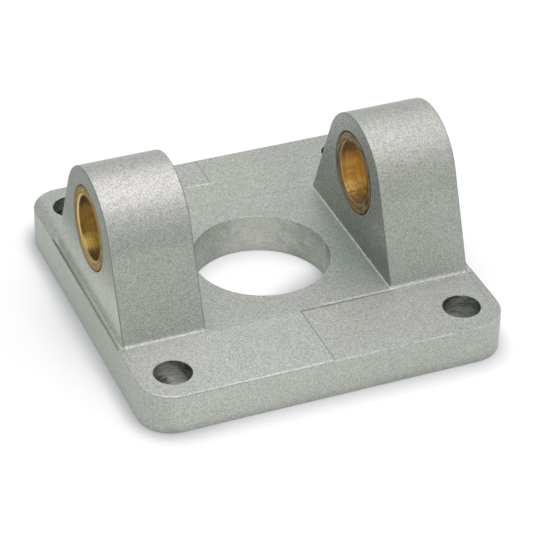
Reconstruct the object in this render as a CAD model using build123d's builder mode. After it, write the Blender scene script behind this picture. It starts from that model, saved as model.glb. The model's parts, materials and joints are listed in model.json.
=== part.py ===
from build123d import *
import math
import os

os.makedirs("parts", exist_ok=True)

# A fork bracket for the rear end of a pneumatic cylinder, in millimetres.
# The origin is the centre of the base, +X runs along the pin from the left ear to the right one,
# -Y is the front and +Z is up.

# Sizes that meet the cylinder
bolt_pitch = 140.0
bolt_hole_diameter = 17.5
spigot_hole_diameter = 65.0

# Sizes that meet the hinge pin and the tongue between the ears
pin_diameter = 30.0
pin_axis_height = 55.0
ear_gap = 90.8
ear_thickness = 39.1

# Plate
plate_thickness = 20.0
bolt_edge_distance = 17.5
ledge_width = 3.0
plate_corner_radius = 16.0
plate_edge_round = 1.0
base_edge_chamfer = 0.6
hole_rim_chamfer = 0.2
spigot_lead_in = 0.3

# Ears
crown_wall = 10.1
crown_drop = 1.6
flank_lean = 22.0
flank_foot_fillet = 2.5
foot_fillet_sink = 0.1
inner_foot_fillet = 0.8
ear_edge_round = 0.7
seat_rim_chamfer = 0.4

# Step that the mould left on the plate's top
insert_step = 0.25

# Bushes
bush_wall = 5.0
bush_lead_in = 1.0
bush_edge_chamfer = 0.3
bush_recess = 0.2

# Sizes that follow from those above
width_over_ears = ear_gap + 2 * ear_thickness
plate_side = max(width_over_ears + 2 * ledge_width, bolt_pitch + 2 * bolt_edge_distance)
bush_diameter = pin_diameter + 2 * bush_wall
crown_radius = bush_diameter / 2 + crown_wall
crown_centre_z = pin_axis_height - crown_drop
left_ear_start = -width_over_ears / 2
right_ear_start = ear_gap / 2

# The round of the cast crown is centred a little below the bored axis. A flank leaves it at a
# tangent and comes down to the foot. The foot lies a little under the plate's top, so that the
# foot's fillet ends at the top in a clear line and not in a feather.
lean = math.radians(flank_lean)
tangent_y = crown_radius * math.cos(lean)
tangent_z = crown_centre_z + crown_radius * math.sin(lean)
foot_z = plate_thickness - foot_fillet_sink
foot_y = tangent_y + (tangent_z - foot_z) * math.tan(lean)
foot_end_y = foot_y + flank_foot_fillet * math.tan((math.pi / 2 - lean) / 2)

# The root that joins an ear to the plate is a little wider than the foot
root_y = foot_y + 2 * flank_foot_fillet
root_z = plate_thickness / 2

# One ear, with its inner or outer face on the YZ plane
with BuildPart() as ear:
    with BuildSketch(Plane.YZ) as ear_outline:
        with BuildLine():
            crown = ThreePointArc(
                (-tangent_y, tangent_z),
                (0, crown_centre_z + crown_radius),
                (tangent_y, tangent_z),
            )
            Polyline(
                crown @ 1,
                (foot_y, foot_z),
                (root_y, foot_z),
                (root_y, root_z),
                (-root_y, root_z),
                (-root_y, foot_z),
                (-foot_y, foot_z),
                crown @ 0,
            )
        make_face()
        feet = ear_outline.vertices().group_by(Axis.Y)[1].sort_by(Axis.X)[1:3]
        fillet(feet, radius=flank_foot_fillet)
    extrude(amount=ear_thickness)
    fillet(ear.faces().filter_by(Axis.X).edges(), radius=ear_edge_round)

with BuildPart() as clevis_body:
    # Plate
    with BuildSketch():
        RectangleRounded(plate_side, plate_side, plate_corner_radius)
    extrude(amount=plate_thickness)
    fillet(clevis_body.faces().sort_by(Axis.Z)[-1].edges(), radius=plate_edge_round)
    chamfer(clevis_body.faces().sort_by(Axis.Z)[0].edges(), length=base_edge_chamfer)

    # Ears, with a small fillet where each inner face meets the plate
    with Locations((left_ear_start, 0, 0), (right_ear_start, 0, 0)):
        add(ear.part)
    top_edges = clevis_body.edges().filter_by_position(Axis.Z, plate_thickness, plate_thickness)
    inner_feet = top_edges.filter_by(Axis.Y).filter_by_position(Axis.X, -ear_gap / 2, ear_gap / 2)
    fillet(inner_feet, radius=inner_foot_fillet)

    # The front right of the top lies a hair lower, where an insert of the mould ended
    with BuildSketch(Plane.XY.offset(plate_thickness)):
        with Locations((0, -foot_end_y)):
            Rectangle(plate_side / 2, plate_side / 2, align=(Align.MIN, Align.MAX))
    extrude(amount=-insert_step, mode=Mode.SUBTRACT)

    # Bolt holes, and the hole for the cylinder's spigot
    with GridLocations(bolt_pitch, bolt_pitch, 2, 2):
        Hole(bolt_hole_diameter / 2)
    Hole(spigot_hole_diameter / 2)

    # Seats for the bushes, bored through both ears
    with BuildSketch(Plane.YZ):
        with Locations((0, pin_axis_height)):
            Circle(bush_diameter / 2)
    extrude(amount=width_over_ears, both=True, mode=Mode.SUBTRACT)

    # Broken edges round the holes, and a lead-in for the spigot at the base
    rims = clevis_body.edges().filter_by(GeomType.CIRCLE)
    bolt_rims = rims.filter_by(lambda rim: math.isclose(rim.radius, bolt_hole_diameter / 2))
    spigot_rims = rims.filter_by(lambda rim: math.isclose(rim.radius, spigot_hole_diameter / 2))
    seat_rims = rims.filter_by(lambda rim: math.isclose(rim.radius, bush_diameter / 2))
    chamfer(bolt_rims + spigot_rims.sort_by(Axis.Z)[-1:], length=hole_rim_chamfer)
    chamfer(spigot_rims.sort_by(Axis.Z)[:1], length=spigot_lead_in)
    chamfer(seat_rims, length=seat_rim_chamfer)

clevis_body.part.label = "clevis_body"
export_step(clevis_body.part, "parts/clevis_body.step")

# Bronze bushes, one pressed into each ear. The hinge pin goes in at the outer end, which has a
# rounded lead-in, and the other rims are only broken.
for bush_name, ear_start in (("left_bush", left_ear_start), ("right_bush", right_ear_start)):
    with BuildPart() as bush:
        with BuildSketch(Plane.YZ.offset(ear_start + bush_recess)):
            with Locations((0, pin_axis_height)):
                Circle(bush_diameter / 2)
                Circle(pin_diameter / 2, mode=Mode.SUBTRACT)
        extrude(amount=ear_thickness - 2 * bush_recess)
        bush_rims = bush.edges().filter_by(GeomType.CIRCLE).group_by(SortBy.RADIUS)
        inner_end, outer_end = bush_rims[0].sort_by(lambda rim: abs(rim.center().X))
        fillet(outer_end, radius=bush_lead_in)
        chamfer(bush_rims[-1] + [inner_end], length=bush_edge_chamfer)
    bush.part.label = bush_name
    export_step(bush.part, f"parts/{bush_name}.step")
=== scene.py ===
import bmesh
import bpy
import json
import math
import mathutils
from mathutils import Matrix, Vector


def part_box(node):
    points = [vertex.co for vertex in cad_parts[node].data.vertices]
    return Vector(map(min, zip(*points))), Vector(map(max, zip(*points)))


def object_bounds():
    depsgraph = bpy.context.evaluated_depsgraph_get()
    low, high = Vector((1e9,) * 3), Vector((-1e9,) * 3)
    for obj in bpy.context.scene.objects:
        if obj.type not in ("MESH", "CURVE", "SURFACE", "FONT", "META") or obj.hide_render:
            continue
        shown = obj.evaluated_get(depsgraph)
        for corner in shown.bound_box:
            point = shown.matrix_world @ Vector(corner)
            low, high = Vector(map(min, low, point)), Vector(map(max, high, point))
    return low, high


# A rear fork bracket in shot-blasted cast aluminium, with two bronze bushes, on a white table.
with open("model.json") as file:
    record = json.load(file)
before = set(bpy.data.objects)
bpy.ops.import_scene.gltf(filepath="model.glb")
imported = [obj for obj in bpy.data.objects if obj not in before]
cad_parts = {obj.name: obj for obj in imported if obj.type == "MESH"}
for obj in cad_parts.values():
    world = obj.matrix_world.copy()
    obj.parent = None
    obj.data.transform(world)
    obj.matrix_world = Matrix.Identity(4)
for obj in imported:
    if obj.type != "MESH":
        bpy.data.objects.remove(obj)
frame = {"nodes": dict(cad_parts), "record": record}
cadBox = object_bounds()
nodes = frame["nodes"]
mounts = {mount["name"]: mount for mount in frame["record"]["mounts"]}
print("frame loaded:", ", ".join(sorted(nodes)))

# Sizes that the finishes line up with, in millimetres, from the frame
mm = 1000.0
halfSide = cadBox[1].x * mm
plateTop = 2 * mounts["spigot_hole"]["pos_m"][2] * mm      # the mount lies half way up the plate
spigotRadius = mounts["spigot_hole"]["dims"]["r_mm"]
boltReach = mounts["cylinder_bolts"]["dims"]["spacing_x_mm"] / 2
boltRadius = mounts["cylinder_bolts"]["dims"]["hole_r_mm"]
axisHeight = mounts["pin_bore"]["pos_m"][2] * mm
boreRadius = mounts["pin_bore"]["dims"]["r_mm"]
bushLow, bushHigh = (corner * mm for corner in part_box("right_bush"))
bushRadius = (bushHigh.z - bushLow.z) / 2
bushMiddle = (bushHigh.x + bushLow.x) / 2
earInner = mounts["right_inner_face"]["pos_m"][0] * mm
earOuter = 2 * bushMiddle - earInner                        # a bush sits in the middle of its ear

# Places on the plate that the frame doesn't name
earFoot = 46.0                          # half of an ear's width where it meets the plate
frontLine = -48.0                       # the front of the plate's top begins here, ahead of the ears


# A number, colour or vector on its way through a material
class Value:
    def __init__(self, finish, socket):
        self.finish = finish
        self.socket = socket

    def maths(self, operation, *others):
        values = dict(enumerate((self, *others)))
        return self.finish.add("ShaderNodeMath", {"operation": operation}, values)

    def __add__(self, other):
        return self.maths("ADD", other)

    def __sub__(self, other):
        return self.maths("SUBTRACT", other)

    def __rsub__(self, other):
        return -self + other

    def __neg__(self):
        return self * -1.0

    def __mul__(self, other):
        return self.maths("MULTIPLY", other)

    def __truediv__(self, other):
        return self.maths("DIVIDE", other)

    def __pow__(self, power):
        return self.maths("POWER", power)

    def __abs__(self):
        return self.maths("ABSOLUTE")

    # The larger of two, which joins two masks
    def __or__(self, other):
        return self.maths("MAXIMUM", other)

    __radd__ = __add__
    __rmul__ = __mul__


class Finish:
    def __init__(self, name):
        self.material = bpy.data.materials.new(name)
        self.material.use_nodes = True
        self.nodes = self.material.node_tree.nodes
        self.links = self.material.node_tree.links
        self.nodes.clear()

    def add(self, kind, settings=None, sockets=None, result=0):
        node = self.nodes.new(kind)
        for name, setting in (settings or {}).items():
            setattr(node, name, setting)
        for name, value in (sockets or {}).items():
            socket = node.inputs[name]
            if isinstance(value, Value):
                self.links.new(value.socket, socket)
            elif socket.type == "RGBA":
                socket.default_value = (*value, 1.0)
            else:
                socket.default_value = value
        return Value(self, node.outputs[result]) if node.outputs else node

    def split(self, vector):
        node = self.add("ShaderNodeSeparateXYZ", None, {"Vector": vector}).socket.node
        return [Value(self, output) for output in node.outputs]

    def join(self, x, y, z):
        return self.add("ShaderNodeCombineXYZ", None, {"X": x, "Y": y, "Z": z})

    # The place on the piece in millimetres, as a vector and as three numbers
    def place(self):
        scaled = self.scale(self.add("ShaderNodeTexCoord", result="Object"), mm)
        return scaled, *self.split(scaled)

    # The way the surface faces
    def facing(self):
        return self.split(self.add("ShaderNodeTexCoord", result="Normal"))

    # From 0 at low to 1 at high, with a smooth start and end
    def ease(self, value, low, high):
        settings = {"interpolation_type": "SMOOTHSTEP"}
        return self.add("ShaderNodeMapRange", settings, {"Value": value, "From Min": low, "From Max": high})

    # 1 where the value lies between low and high, falling to 0 over the edge's width outside them
    def between(self, value, low, high, edge):
        return self.ease(value, low - edge, low) * (1 - self.ease(value, high, high + edge))

    # Noise about 0, with lumps of the given size in millimetres
    def noise(self, vector, size, detail=2.0, roughness=0.5):
        sockets = {"Vector": vector, "Scale": 1.0 / size, "Detail": detail, "Roughness": roughness}
        return self.add("ShaderNodeTexNoise", None, sockets) - 0.5

    # Flat facets of the given size, each with three numbers of its own about 0
    def facets(self, vector, size):
        colour = self.add("ShaderNodeTexVoronoi", None, {"Vector": vector, "Scale": 1.0 / size}, "Color")
        return [number - 0.5 for number in self.split(colour)]

    def blend(self, factor, colour, other):
        return self.add("ShaderNodeMix", {"data_type": "RGBA"}, {0: factor, 6: colour, 7: other}, 2)

    def scale(self, vector, factor):
        return self.add("ShaderNodeVectorMath", {"operation": "SCALE"}, {"Vector": vector, "Scale": factor})

    # The colour times the tint where the mask is 1
    def tint(self, colour, mask, tint):
        masked = self.blend(mask, (1.0, 1.0, 1.0), tint)
        return self.add("ShaderNodeVectorMath", {"operation": "MULTIPLY"}, {0: colour, 1: masked})

    def pick(self, factor, value, other):
        return factor * (other - value) + value

    def away(self, x, y):
        return (x * x + y * y) ** 0.5

    # How far a point is from the line between two points of a plane
    def fromLine(self, x, y, start, end):
        length = math.dist(start, end)
        wayX, wayY = (end[0] - start[0]) / length, (end[1] - start[1]) / length
        along = (x - start[0]) * wayX + (y - start[1]) * wayY
        across = (x - start[0]) * wayY - (y - start[1]) * wayX
        beyond = (abs(along - length / 2) - length / 2) | 0.0
        return self.away(across, beyond)

    # The change of tone that a set of lines makes
    def lines(self, x, y, marks):
        total = 0.0
        for start, end, width, change in marks.values():
            total = (1 - self.ease(self.fromLine(x, y, start, end), width / 3, width)) * change + total
        return total

    def close(self, shader):
        self.add("ShaderNodeOutputMaterial", None, {"Surface": shader})
        return self.material


# The two parts of a length of 1 that points at this angle, in degrees
def direction(angle):
    return math.cos(math.radians(angle)), math.sin(math.radians(angle))


def dress(node, material):
    node.data.materials.clear()
    node.data.materials.append(material)


print("casting")

# Colours are linear and lengths are in millimetres. A tone runs from 0, dark, to 1, light. What is
# called a change is added to a brightness of 1.
casting = {
    # Blasted skin
    "dark": (0.375, 0.367, 0.360),
    "light": (0.575, 0.562, 0.550),
    "speck": 0.44,                      # size of a facet
    "grain": 0.50,
    "mottle": 11.0,
    "speck strength": 1.15,
    "grain strength": 1.25,
    "mottle strength": 0.35,
    "top strength": 0.5,                # how much stronger speck and grain are where it faces up
    "skin metal": 0.65,                 # share of bare metal; the rest is the dull oxide of the skin
    "cast roughness": 0.50,
    "shine": 0.14,                      # how much the roughness differs between facets
    "grain depth": 0.028,               # the heights below are shares of it
    "facet rise": 0.6,
    "grain rise": 2.0,
    "mark rise": 2.0,
    "ring rise": 0.3,
    "chatter rise": 2.0,
    "cut smoothness": 0.75,             # how much of the skin's height a cut face has lost

    # Plate: changes, and two colours
    "front": 0.10,                      # painted light on the top in front
    "front fall": -0.17,                # and painted shade growing from its middle to its right
    "left strip": -0.20,                # at the top's left edge, behind
    "back": 0.07,                       # behind the middle hole
    "paintedShadeBeside": (0.86, 0.94, 0.93),       # tint of painted shade beside the right ear's inner foot
    "ledge": (0.55, 0.55, 0.525),       # painted light: a lighter strip beside the ears' outer faces
    "front side": 0.11,                 # painted light on the front side, at its left
    "front side fall": -0.10,           # and less of that painted light towards its right
    "front side foot": -0.15,
    "front side corner": -0.16,
    "left side": -0.05,
    "rim glint": 0.16,                  # painted glints along the upper rim, but for its left end
    "step rim glint": 0.30,             # and more painted glint on the right, where the top's front lies lower
    "mark wear": 0.7,                   # how much the mottle wears the marks away

    # Ears
    "edge": (0.24, 0.24, 0.228),        # painted shade on the ears' rounded edges and the rims of their seats
    "edge share": 0.85,
    "crown": (1.03, 1.0, 1.01),         # painted highlight tint of the ears' round tops, the left one's next and lighter
    "left crown": (1.055, 1.025, 1.045),
    "under crown": -0.04,               # painted shade on the flanks below them, in front
    "under left crown": -0.10,
    "inner": (0.37, 0.385, 0.367),      # ears' faces in the gap
    # painted light and shade on the inner faces: at the foot, low at the back, and towards the crown
    "inner foot": (0.385, 0.38, 0.36),
    "inner foot change": 0.08,
    "inner back change": 0.11,
    "inner crown change": -0.05,
    "inner grain": 0.85,
    "inner foot line": 0.30,            # painted glint along the foot of the ears' inner faces
    # painted shade at the top of the outer faces, and painted light at their foot
    "outer top": (0.20, 0.208, 0.197),
    "outer foot": (0.585, 0.575, 0.56),
    "outer back tilt": 0.11,            # how steeply the painted shade on the outer faces grows towards the back
    "outer front tilt": 0.25,           # and the painted light grows towards the front
    "outer grain": 0.5,
    # painted light low on the outer faces
    "outer foot glow": 0.55,
    "outer foot line": 0.42,            # painted glint along the foot of the ears' outer faces
    "sweep": 0.9,                       # width of the cutter's lines on both faces
    "sweep strength": 0.6,
    "ear roughness": 0.42,

    # Middle hole, with painted light on its wall
    "hole light": (0.585, 0.58, 0.56),
    "hole dark": (0.295, 0.325, 0.295),
    "hole tone": 0.17,
    "hole bright": 0.70,
    "hole bright angle": 74.0,          # from the right, +X, towards the back, +Y
    "hole bright focus": 7.0,           # the higher, the narrower
    "hole left": 0.24,
    "hole grain": 0.55,
    "stain": 5.0,
    "stain strength": 1.1,
    "ring": 0.35,
    "ring strength": 0.9,
    "right wall line": 0.35,                  # a thin lighter line on the wall at the right
    "right wall darkening": -0.25,                # and darker wall in front of it
    "hole roughness": 0.40,

    # Bolt holes: their walls are darkened as painted shade, more in the back holes, with painted reflections
    # as lighter patches
    "bolt light": (0.68, 0.70, 0.66),
    "bolt dark": (0.10, 0.10, 0.09),
    "bolt tone": 0.38,
    "bolt back": -0.3,
    "bolt left": -0.05,
    "chatter": 0.8,
    "chatter strength": 1.9,
    "patch strength": 0.8,
    "slant strength": 0.5,
    "low strength": 0.65,
    "bolt roughness": 0.42,
}

# Lines on the plate's top that the mould and the tools left, and painted glints and light along its steps'
# edges: start, end, width, change
plateMarks = {
    "front left parting": ((-43.5, -45.9), (0.0, -47.0), 0.5, 0.06),
    "front parting": ((0.0, -47.8), (0.0, -86.6), 0.5, -0.45),
    "front right parting": ((0.5, -47.9), (30.0, -47.9), 0.45, -0.34),
    "front right parting end": ((30.0, -47.9), (46.0, -47.9), 0.4, -0.20),
    "front right step glint": ((12.0, -46.7), (46.0, -46.7), 0.8, 0.40),
    "right step light": ((46.0, -47.9), (84.0, -47.9), 0.6, 0.25),
    "back step glint": ((-12.5, 65.9), (0.0, 65.4), 0.7, 0.50),
    "back step glint end": ((1.0, 65.3), (11.0, 64.4), 0.5, 0.08),
    "back parting": ((0.0, 65.8), (0.0, 86.8), 0.7, -0.24),
    "slide parting": ((-43.0, 48.8), (43.0, 46.5), 0.5, -0.15),
    "left cutter run-out": ((-85.2, -47.1), (-84.3, -56.0), 0.4, -0.20),
    "right cutter run-out": ((84.4, -49.0), (83.3, -70.5), 0.4, -0.22),
    "left slide": ((-86.9, -46.0), (-86.9, 46.0), 0.8, -0.34),
    "right slide": ((86.9, -46.0), (86.9, -71.0), 0.5, -0.22),
}


def makeCasting(look):
    f = Finish("castAluminium")
    place, x, y, z = f.place()
    nx, ny, nz = f.facing()
    onRight = f.ease(x, -1.0, 1.0)

    # Where a tool has cut: the ears' faces, the middle hole, the bolt holes and the base
    fromAxis = f.away(x, y)
    fromBolt = f.away(abs(x) - boltReach, abs(y) - boltReach)
    underTop = 1 - f.ease(z, plateTop - 0.4, plateTop - 0.1)
    earFaces = f.ease(abs(nx), 0.97, 0.995) * f.ease(z, plateTop, plateTop + 0.5)
    middleWall = (1 - f.ease(fromAxis, spigotRadius + 0.1, spigotRadius + 0.3)) * underTop
    boltWalls = (1 - f.ease(fromBolt, boltRadius + 0.1, boltRadius + 0.3)) * underTop
    base = 1 - f.ease(z, 0.05, 0.2)
    cut = earFaces | middleWall | boltWalls | base

    # Shot-blasted skin: small facets, each a little lighter or darker, over a soft mottle
    speck, shine, rise = f.facets(place, look["speck"])
    grain = f.noise(place, look["grain"], 3.0, 0.6)
    mottle = f.noise(place, look["mottle"], 3.0, 0.5)
    fine = speck * look["speck strength"] + grain * look["grain strength"]
    fine = fine * (f.ease(nz, 0.2, 0.8) * look["top strength"] + 1.0)
    tone = fine + mottle * look["mottle strength"] + 0.5
    colour = f.blend(tone, look["dark"], look["light"])

    # Marks, painted step glints and changes on the plate's top, with painted light in front
    onTop = f.ease(nz, 0.5, 0.8) * f.between(z, plateTop - 0.8, plateTop + 0.1, 0.1)
    marks = f.lines(x, y, plateMarks) * onTop * (mottle * look["mark wear"] + 1.0)
    # Painted light: the top in front is lighter on the left and darker towards the right
    frontPaintedLight = f.ease(x, -92.0, -45.0) * look["front"] + f.ease(x, -20.0, 80.0) * look["front fall"]
    front = (1 - f.ease(y, frontLine - 0.2, frontLine + 0.2)) * frontPaintedLight
    leftStrip = (1 - f.ease(x, -84.0, -80.0)) * f.ease(y, -10.0, 35.0) * look["left strip"]
    back = f.ease(y, 20.0, 50.0) * (1 - f.ease(abs(x), 15.0, 40.0)) * look["back"]

    # The plate's front and left sides: painted light on the front side, less of it towards the right; darker
    # at its foot and left corner, and on the left side
    frontSide = f.ease(x, -60.0, 80.0) * look["front side fall"] + look["front side"]
    frontSide = (1 - f.ease(z, 0.5, 5.0)) * look["front side foot"] + frontSide
    frontSide = (1 - f.ease(x, -84.0, -70.0)) * look["front side corner"] + frontSide
    side = f.ease(-ny, 0.8, 0.95) * frontSide + f.ease(-nx, 0.6, 0.8) * look["left side"]
    side = side * (1 - f.ease(z, plateTop - 1.5, plateTop - 0.5))

    # Broken painted glints along the rounded upper rim
    onRim = f.between(nz, 0.2, 0.96, 0.03) * f.between(z, plateTop - 1.2, plateTop, 0.02)
    glint = f.ease(x, -60.0, -20.0) * look["rim glint"] + f.ease(x, 0.0, 0.5) * look["step rim glint"]
    broken = f.ease(f.noise(place, 2.2, 3.0, 0.6), -0.12, 0.06) * onRim * glint
    colour = f.scale(colour, marks + (front + back + leftStrip) * onTop + side + broken + 1.0)

    # Painted shade beside the right ear's inner foot, a painted highlight tint on the crowns, and painted
    # shade on the flanks just below them
    paintedShadeBeside = f.ease(x, 8.0, 32.0) * (1 - f.ease(x, earInner + 0.1, earInner + 1.1))
    paintedShadeBeside = paintedShadeBeside * f.between(y, -30.0, 4.0, 20.0) * onTop
    colour = f.tint(colour, paintedShadeBeside, look["paintedShadeBeside"])
    crownHighlightTint = f.blend(onRight, look["left crown"], look["crown"])
    colour = f.tint(colour, f.ease(z, axisHeight + 3.0, axisHeight + 15.0), crownHighlightTint)
    underCrownShade = f.between(z, axisHeight + 5.0, axisHeight + 10.0, 4.0) * f.ease(-ny, 0.85, 0.92)
    underCrownShade = underCrownShade * f.pick(onRight, look["under left crown"], look["under crown"])
    colour = f.scale(colour, underCrownShade + 1.0)

    # Strip between the plate's edge and an ear's outer face, lightened as painted light
    ledge = f.between(abs(x), earOuter - 0.1, halfSide - 1.3, 0.3) * onTop
    ledge = ledge * (1 - f.ease(abs(y), earFoot, earFoot + 1.0))
    colour = f.blend(ledge, colour, f.scale(look["ledge"], leftStrip + 1.0))

    # The ears' outer faces, with painted light: lightest at the foot and in front, darkest at the top and
    # back, with a painted glow along the foot
    outward = f.ease(abs(x), bushMiddle - 5.0, bushMiddle + 5.0)
    tilt = (y | 0.0) * look["outer back tilt"] - (-y | 0.0) * look["outer front tilt"]
    toTop = f.ease(z + tilt, plateTop + 2.0, plateTop + 32.0)
    outerFace = f.blend(toTop, look["outer foot"], look["outer top"])
    footGlow = 2 - f.ease(z, plateTop + 0.9, plateTop + 2.4) - f.ease(z, plateTop + 0.3, plateTop + 1.1)
    footGlow = footGlow * outward * look["outer foot glow"]

    # Their inner faces, with painted light lightest at the foot and low at the back, and painted shade
    # towards the crown
    atFoot = 1 - f.ease(z, plateTop + 2.0, plateTop + 16.0)
    lowBack = f.ease(y, 0.0, 30.0) * (1 - f.ease(z, axisHeight - 10.0, axisHeight + 5.0))
    atCrown = f.ease(z, axisHeight + 7.0, axisHeight + 21.0)
    innerTone = atFoot * look["inner foot change"] + lowBack * look["inner back change"]
    innerTone = innerTone + atCrown * look["inner crown change"] + 1.0
    innerFace = f.scale(f.blend(atFoot, look["inner"], look["inner foot"]), innerTone)

    # Both, duller than the skin, with the cutter's faint sweep
    sweep = f.noise(f.join(x * 0.2, y / look["sweep"], z * 0.08), 1.0, 2.0, 0.6)
    faceGrain = fine * f.pick(outward, look["inner grain"], look["outer grain"])
    faceTone = faceGrain + sweep * look["sweep strength"] + footGlow + 1.0
    colour = f.blend(earFaces, colour, f.scale(f.blend(outward, innerFace, outerFace), faceTone))

    # Painted shade on the ears' rounded edges and their seats' rims, and painted glints along their feet
    innerFoot = f.between(abs(x), earInner - 1.2, earInner + 0.2, 0.3)
    innerFoot = innerFoot * f.between(z, plateTop + 0.05, plateTop + 0.9, 0.05)
    shadedEdges = f.between(abs(nx), 0.3, 0.93, 0.1) * f.ease(z, plateTop, plateTop + 0.1)
    colour = f.blend(shadedEdges * (1 - innerFoot) * look["edge share"], colour, look["edge"])
    colour = f.scale(colour, innerFoot * look["inner foot line"] + 1.0)
    outerFoot = f.between(abs(x), earOuter - 0.2, earOuter + 0.6, 0.2)
    outerFoot = outerFoot * f.between(z, plateTop - 0.3, plateTop + 0.6, 0.3)
    outerFoot = outerFoot * (1 - f.ease(abs(y), earFoot, earFoot + 0.5))
    colour = f.scale(colour, outerFoot * look["outer foot line"] + 1.0)

    # The middle hole's wall, with painted light lightest at the back and lighter on the left, and a thin
    # lighter line where it is nearest +X
    stain = f.noise(place, look["stain"], 4.0, 0.6)
    ring = f.noise(f.join(x * 0.15, y * 0.15, z / look["ring"]), 1.0, 2.0, 0.6)
    brightX, brightY = direction(look["hole bright angle"])
    bright = ((x * brightX + y * brightY) / fromAxis | 0.0) ** look["hole bright focus"]
    rightWallLine = f.between(y, 0.0, 0.7, 0.3) * look["right wall line"] + (1 - f.ease(y, -1.0, 0.0)) * look["right wall darkening"]
    rightWallLine = rightWallLine * f.ease(x, spigotRadius - 4.0, spigotRadius - 2.0)
    holeTone = bright * look["hole bright"] + (1 - f.ease(x, -24.0, -8.0)) * look["hole left"] + rightWallLine
    holeTone = holeTone + stain * look["stain strength"] + ring * look["ring strength"]
    holeTone = holeTone + fine * look["hole grain"] + look["hole tone"]
    colour = f.blend(middleWall, colour, f.blend(holeTone, look["hole dark"], look["hole light"]))

    # The drilled walls: rings of chatter over painted shade, with a ragged lighter patch of painted
    # reflection that slants on the left and lies low on the right
    chatter = f.noise(f.join(x * 0.25, y * 0.25, z / look["chatter"]), 1.0, 3.0, 0.65)
    patch = f.noise(f.join(x * 0.16, y * 0.16, z * 0.3), 1.0)
    slant = f.between(z + (x + boltReach) * 0.87 + chatter * 8.0, 10.5, 18.5, 2.0) * (1 - onRight)
    low = (1 - f.ease(z + chatter * 6.0, 4.0, 8.0)) * onRight
    boltTone = chatter * look["chatter strength"] + patch * look["patch strength"] + look["bolt tone"]
    boltTone = boltTone + slant * look["slant strength"] + low * look["low strength"]
    boltTone = boltTone + f.ease(y, -1.0, 1.0) * look["bolt back"] + (1 - onRight) * look["bolt left"]
    colour = f.blend(boltWalls, colour, f.blend(boltTone, look["bolt dark"], look["bolt light"]))

    height = rise * look["facet rise"] + grain * look["grain rise"]
    height = height * (1 - cut * look["cut smoothness"]) + marks * look["mark rise"]
    height = height + ring * middleWall * look["ring rise"] + chatter * boltWalls * look["chatter rise"]
    depth = look["grain depth"] / mm
    roughness = f.pick(earFaces, look["cast roughness"], look["ear roughness"])
    roughness = f.pick(middleWall, roughness, look["hole roughness"])
    roughness = f.pick(boltWalls, roughness, look["bolt roughness"]) + shine * look["shine"]
    return f.close(f.add("ShaderNodeBsdfPrincipled", None, {
        "Base Color": colour,
        "Metallic": f.pick(cut, look["skin metal"], 1.0),
        "Roughness": roughness,
        "Normal": f.add("ShaderNodeBump", None, {"Height": height, "Strength": 1.0, "Distance": depth}),
    }))


dress(nodes["clevis_body"], makeCasting(casting))

print("bushes")

# The outer end of a bush is the cleaner one. The right bush has the joint of its wrapped strip low
# in the bore, with dark specks and oil beside it. Angles run from the back, +Y, upwards.
bushes = {
    # Bore
    "bore": (0.91, 0.51, 0.138),
    "bore bright": (1.0, 0.65, 0.205),  # painted highlight low at the back, and in a band above that
    "bore shade": (0.44, 0.325, 0.205), # at its top and bottom
    "bore tone": 0.95,
    "bore metal": 0.75,                 # share of bare metal in the bore, the rest is dull
    "bore roughness": 0.42,
    "bore turning": 0.40,               # width of a turned line
    "bore line strength": 1.4,
    "smear strength": 0.8,
    "bright angle": -60.0,
    "band strength": 0.8,
    "left shade": 0.66,                 # brightness of the left bush's bore, against the right one's
    "left bright": 0.7,                 # how much of that shade its bright part is free of
    "left lip": 0.7,                    # painted shade: brightness of its bore just inside the outer end
    "right lip": -0.15,                 # painted shade: change of the right bush's bore just inside the inner end

    # Ends
    "lead-in": (0.54, 0.36, 0.165),
    "lead-in back": 0.45,               # its change at the back
    "lead-in width": 0.95,
    "inner rim width": 0.25,
    "end": (0.42, 0.31, 0.18),
    "inner end": (0.44, 0.352, 0.24),
    "end dark": (0.10, 0.08, 0.072),
    "end tone": 0.54,
    "end low": 0.28,                    # how much lighter the ends are low down
    "end turning": 0.85,
    "end line strength": 3.0,
    "inner end line strength": 4.5,
    "end wear": 1.2,
    "end roughness": 0.40,
    # painted shade in the groove between a bush's outer edge and its seat
    "rim": (0.035, 0.030, 0.026),

    # Joint and oil
    "oil": (0.13, 0.09, 0.06),
    "joint angle": -69.5,
    "joint wander": 0.012,
    "joint strength": 0.9,
    "oil strength": 0.6,
    "speck strength": 0.8,

    "edge tint": (0.72, 0.58, 0.42),
    "roughness change": 0.15,           # with wear and oil
    "turning depth": 0.04,              # the heights below are shares of it
    "bore line rise": 7.0,
    "oil rise": -1.5,
}


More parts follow.
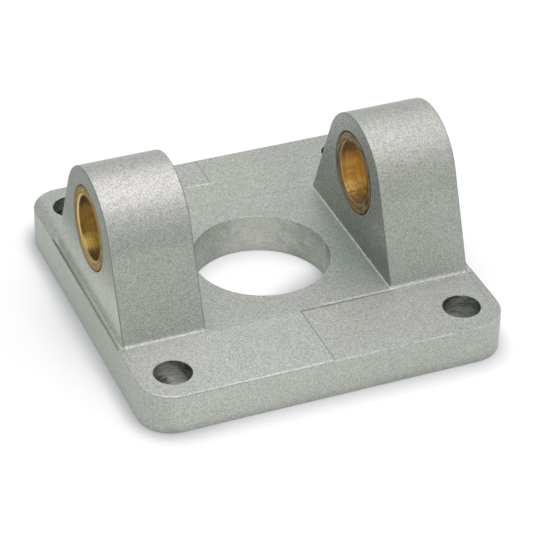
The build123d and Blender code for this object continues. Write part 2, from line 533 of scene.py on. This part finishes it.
def makeBronze(look):
    f = Finish("bronze")
    place, x, y, z = f.place()
    up = z - axisHeight
    fromPin = f.away(y, up)
    wayY, wayUp = y / fromPin, up / fromPin

    # The right bush, the outer ends, and what lies past the bore, the lead-in and the end's face
    onRight = f.ease(x, 0.0, 1.0)
    outer = f.ease(abs(x), bushMiddle - 1.0, bushMiddle + 1.0)
    pastBore = f.ease(fromPin, boreRadius + 0.02, boreRadius + 0.15)
    leadWidth = f.pick(outer, look["inner rim width"], look["lead-in width"])
    pastLead = f.ease((fromPin - boreRadius) / leadWidth, 0.85, 1.05)
    rim = f.ease(fromPin, bushRadius - 0.70, bushRadius - 0.30)

    # Turned lines: round the bore, and in rings on the ends
    boreLines = f.noise(f.join(x / look["bore turning"], y * 0.05, up * 0.05), 1.0, 3.0, 0.7)
    endLines = f.noise(f.join(fromPin / look["end turning"], y * 0.16, up * 0.16), 1.0, 3.0, 0.7)
    wear = f.noise(place, 4.0, 3.0, 0.6)
    smear = f.noise(f.join(x * 0.35, y / 2.2, up / 2.2), 1.0, 3.0, 0.6)

    # The bore's painted highlights and painted shade
    brightY, brightUp = direction(look["bright angle"])
    bright = f.ease(wayY * brightY + wayUp * brightUp, 0.935, 0.997)
    band = f.between(wayUp, -0.30, -0.12, 0.06) * f.between(x, bushLow.x, bushLow.x + 5.0, 4.0)
    above = f.ease(wayUp, 0.0, 0.32) * f.ease(wayY, 0.1, 0.5)
    below = (1 - f.ease(wayY, -0.05, 0.46)) * (1 - f.ease(wayUp, -0.6, -0.2))
    boreColour = f.blend(bright | band * look["band strength"], look["bore"], look["bore bright"])
    boreColour = f.blend(above | below, boreColour, look["bore shade"])
    boreTone = boreLines * look["bore line strength"] + smear * look["smear strength"] + look["bore tone"]
    pastLip = (1 - f.ease(abs(x), bushHigh.x - 3.5, bushHigh.x - 1.5)) | onRight | bright
    rightLip = (1 - f.ease(x, bushLow.x + 0.5, bushLow.x + 3.5)) * onRight * look["right lip"]
    boreTone = boreTone * f.pick(pastLip, look["left lip"], 1.0) * (rightLip + 1.0)
    boreTone = boreTone * f.pick(onRight | bright * look["left bright"], look["left shade"], 1.0)
    boreColour = f.scale(boreColour, boreTone)

    # The ends
    endTone = endLines * f.pick(outer, look["inner end line strength"], look["end line strength"])
    endTone = endTone + wear * look["end wear"] + f.ease(-up, 5.0, 17.0) * look["end low"] + look["end tone"]
    endColour = f.blend(endTone, look["end dark"], f.blend(outer, look["inner end"], look["end"]))

    # The joint along the right bush's bore, low at the back, and the specks and oil about it
    jointY, jointUp = direction(look["joint angle"])
    aside = wayY * jointUp - wayUp * jointY
    nearJoint = f.ease(wayY * jointY + wayUp * jointUp, 0.0, 0.3) * onRight
    wander = f.noise(f.join(x * 0.5, 0.0, 0.0), 1.0) * look["joint wander"]
    joint = (1 - f.ease(abs(aside + wander), 0.006, 0.016)) * nearJoint
    oilPatch = f.ease(f.noise(place, 2.4, 3.0, 0.6), 0.02, 0.12) * f.between(aside, 0.0, 0.5, 0.1) * nearJoint
    specks = f.ease(f.noise(place, 0.8), 0.12, 0.17) * f.between(aside, -0.3, 0.1, 0.05) * nearJoint
    oil = joint * look["joint strength"] | oilPatch * look["oil strength"] | specks * look["speck strength"]
    boreColour = f.blend(oil, boreColour, look["oil"])

    leadIn = f.scale(look["lead-in"], f.ease(wayY, 0.2, 0.8) * look["lead-in back"] + 1.0)
    colour = f.blend(pastBore, boreColour, leadIn)
    colour = f.blend(pastLead, colour, endColour)
    # The painted shade of the groove at the bush's outer edge
    colour = f.blend(rim, colour, look["rim"])

    height = boreLines * (1 - pastBore) * look["bore line rise"] + endLines * pastLead
    height = height + oil * look["oil rise"]
    depth = look["turning depth"] / mm
    roughness = f.pick(pastLead, look["bore roughness"], look["end roughness"])
    return f.close(f.add("ShaderNodeBsdfPrincipled", None, {
        "Base Color": colour,
        "Metallic": f.pick(pastLead, look["bore metal"], 1.0),
        "Specular Tint": look["edge tint"],
        "Roughness": roughness + (wear + oil) * look["roughness change"],
        "Normal": f.add("ShaderNodeBump", None, {"Height": height, "Strength": 1.0, "Distance": depth}),
    }))


bronze = makeBronze(bushes)
for name in ("left_bush", "right_bush"):
    dress(nodes[name], bronze)

print("table, lamps and camera")

table = {
    "reach": 4.0,                       # m, from the middle to each side
    "colour": (0.88, 0.89, 0.87),
    "seen colour": (0.90, 0.86, 0.905), # as the camera sees it, which keeps the shadow's own tint
    "contact": (0.50, 0.475, 0.53),     # painted contact shadow: the same, close under the piece's edge
    "contact reach": 0.012,             # m
    "far contact": 0.6,                 # how much fainter it is in front and on the right
    "hole contact": 0.8,                # and in the middle hole
    "hole shade angle": -63.43,         # the way in which the hole's floor darkens, from +X to -Y
    "seen glow": 0.12,                  # share of plain white that the camera sees in the table
    "hole glow": 0.24,                  # painted light: more of the same in the middle hole
    "mirrored glow": 0.10,              # the same in reflections, so that metal shows a white table
}


def makeTable(look):
    mesh = bpy.data.meshes.new("table")
    shape = bmesh.new()
    bmesh.ops.create_grid(shape, x_segments=1, y_segments=1, size=look["reach"])
    shape.to_mesh(mesh)
    shape.free()
    piece = bpy.data.objects.new("table", mesh)
    bpy.context.scene.collection.objects.link(piece)
    f = Finish("tableWhite")
    rays = f.add("ShaderNodeLightPath").socket.node.outputs
    kinds = ("Is Camera Ray", "Is Glossy Ray", "Is Transmission Ray")
    camera, glossy, through = (Value(f, rays[kind]) for kind in kinds)
    x, y = f.place()[1:3]
    inHole = 1 - f.ease(f.away(x, y), spigotRadius, spigotRadius + 4.0)
    # Painted contact shadow from ambient occlusion, fainter in front, on the right and in the middle hole,
    # and painted shade on the hole's floor
    openness = f.add("ShaderNodeAmbientOcclusion", None, {"Distance": look["contact reach"]}, "AO")
    shadeX, shadeY = direction(look["hole shade angle"])
    holeShade = f.ease(x * shadeX + y * shadeY, -1.0, 22.0) * inHole
    sideShade = 1 - f.ease(x, -90.0, -30.0) * look["far contact"]
    nearness = (1 - f.ease(openness, 0.45, 1.0)) * sideShade * (1 - inHole * look["hole contact"])
    seenColour = f.blend(nearness | holeShade, look["seen colour"], look["contact"])
    diffuse = f.add("ShaderNodeBsdfDiffuse", None, {"Color": f.blend(camera, look["colour"], seenColour)})
    # Painted light: more plain white seen in the middle hole, less where its floor is shaded
    seen = camera * f.pick(inHole, look["seen glow"], (1 - holeShade) * look["hole glow"])
    share = seen | (glossy | through) * look["mirrored glow"]
    white = f.add("ShaderNodeEmission", None, {"Color": (1.0, 1.0, 1.0), "Strength": 1.0})
    glow = f.add("ShaderNodeMixShader", None, {0: share, 2: white})
    dress(piece, f.close(f.add("ShaderNodeAddShader", None, {0: diffuse, 1: glow})))


makeTable(table)

room = {"colour": (0.846, 1.0, 0.88), "strength": 0.602}


def makeRoom(look):
    world = bpy.data.worlds.new("room")
    world.use_nodes = True
    background = world.node_tree.nodes["Background"]
    background.inputs["Color"].default_value = (*look["colour"], 1.0)
    background.inputs["Strength"].default_value = look["strength"]
    bpy.context.scene.world = world


makeRoom(room)

# Each soft box: where it hangs in metres, the length of its sides in metres and its power in watts.
# All of them point at the object, and they share one colour.
lampColour = (1.0, 0.94, 0.973)
softBoxes = {
    "overhead": {"place": (0.0, -0.41, 1.55), "side": 0.9, "power": 8.1},
    "overhead back": {"place": (0.0, 0.41, 1.55), "side": 0.9, "power": 6.7},
    "back right": {"place": (0.73, 0.73, 1.23), "side": 0.8, "power": 0.45},
    "front right": {"place": (1.0, -0.6, 1.1), "side": 0.8, "power": 0.9},
}


def makeSoftBox(name, look):
    data = bpy.data.lights.new(name, "AREA")
    data.shape = "SQUARE"
    data.size = look["side"]
    data.energy = look["power"]
    data.color = lampColour
    lamp = bpy.data.objects.new(name, data)
    lamp.location = look["place"]
    lamp.rotation_euler = mathutils.Vector(look["place"]).to_track_quat("Z", "Y").to_euler()
    bpy.context.scene.collection.objects.link(lamp)


for name, look in softBoxes.items():
    makeSoftBox(name, look)

camera = {
    "place": (-0.36900, -0.88031, 0.68068),     # m
    "turn": (55.0353, -1.0547, -22.1585),       # degrees
    "lens": 167.8,                              # mm, on a sensor of this width:
    "sensor": 36.0,
    "nearest": 0.05,                            # m, where its view begins
}


def makeCamera(look):
    data = bpy.data.cameras.new("camera")
    data.lens = look["lens"]
    data.sensor_width = look["sensor"]
    data.clip_start = look["nearest"]
    piece = bpy.data.objects.new("camera", data)
    piece.location = look["place"]
    piece.rotation_euler = [math.radians(angle) for angle in look["turn"]]
    bpy.context.scene.collection.objects.link(piece)
    bpy.context.scene.camera = piece


makeCamera(camera)
bpy.context.scene.view_settings.view_transform = "Standard"
